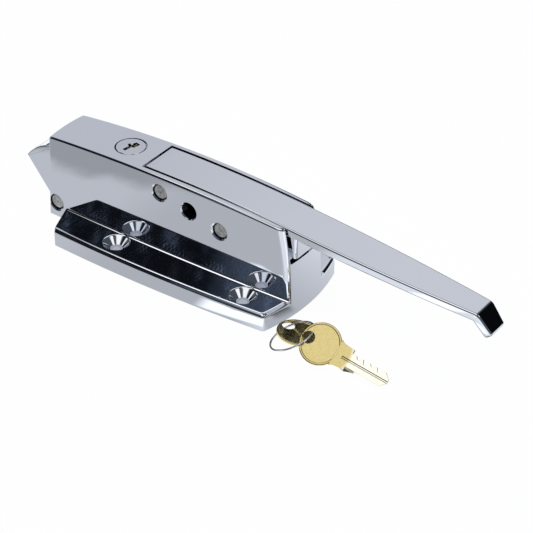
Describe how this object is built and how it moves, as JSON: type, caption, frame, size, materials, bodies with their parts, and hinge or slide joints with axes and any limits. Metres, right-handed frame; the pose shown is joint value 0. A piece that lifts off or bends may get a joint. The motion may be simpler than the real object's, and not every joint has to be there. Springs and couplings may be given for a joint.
{
  "type": "walk-in cooler door latch",
  "caption": "Surface-mounted cold-room door latch: hollow crowned casting with countersunk flanges, flush pull handle, swinging pawl on a link, key lock in the face, keys on a ring.",
  "frame": {"origin": "middle of the four mounting holes, on the mounting face", "axes": "+X along the latch from the pawl end to the free end of the handle, +Y across to the far flange, +Z out of the door toward the front face"},
  "size_m": [0.2922, 0.0828, 0.0554],
  "materials": {
    "chrome_casting": "mirror-polished chrome on a zinc casting",
    "chrome_handle": "mirror-polished chrome on a zinc casting",
    "chrome_pawl": "polished chrome",
    "chrome_lock": "polished chrome",
    "pin_steel": "turned steel",
    "plated_steel": "zinc-plated pressed steel",
    "spring_steel": "drawn spring wire",
    "ring_steel": "nickel-plated wire",
    "bronze": "sintered bronze",
    "key_brass": "bright stamped brass",
    "nylon": "moulded nylon"
  },
  "bodies": {
    "housing": {"housing": "chrome_casting", "handle_pivot_pin": "pin_steel", "stop_pin": "pin_steel", "stop_sleeve": "nylon", "pawl_pivot_pin": "pin_steel", "pawl_washers": "plated_steel", "lock_cylinder": "chrome_lock", "lock_clip": "spring_steel"},
    "handle": {"handle_lever": "chrome_handle", "handle_bushes": "bronze", "handle_spring": "spring_steel", "link_rear_pin": "pin_steel", "link_spacers": "plated_steel"},
    "link": {"pull_link": "plated_steel"},
    "pawl": {"pawl": "chrome_pawl", "link_front_pin": "pin_steel", "pawl_spring": "spring_steel"},
    "lock": {"lock_plug": "chrome_lock", "lock_wafers": "key_brass", "lock_cam": "plated_steel", "lock_cam_screw": "plated_steel"},
    "keys": {"key_front": "key_brass", "key_rear": "key_brass", "key_ring": "ring_steel"}
  },
  "joints": [
    {"name": "handle_pull", "type": "hinge", "parent": "housing", "child": "handle", "pos_m": [-0.0176, 0, 0.0457], "axis": [0, -1, 0], "range_deg": [0, 27], "stiffness_Nm_per_rad": 0.6},
    {"name": "link_swing", "type": "hinge", "parent": "handle", "child": "link", "pos_m": [-0.02739, 0, 0.02826], "axis": [0, 1, 0], "range_deg": [0, 27]},
    {"name": "pawl_swing", "type": "hinge", "parent": "housing", "child": "pawl", "pos_m": [-0.091, 0, 0.0114], "axis": [0, 1, 0], "range_deg": [0, 47]},
    {"name": "lock_turn", "type": "hinge", "parent": "housing", "child": "lock", "pos_m": [-0.0485, 0, 0.045], "axis": [0, 0, -1], "range_deg": [0, 90]},
    {"name": "keys_slide", "type": "slide", "parent": "housing", "child": "keys", "axis": [0, -1, 0], "range_m": [0, 0.1]}
  ],
  "couplings": [
    {"joint": "link_swing", "follows": "handle_pull", "ratio": 1},
    {"joint": "pawl_swing", "follows": "handle_pull", "ratio": 1.7407}
  ]
}
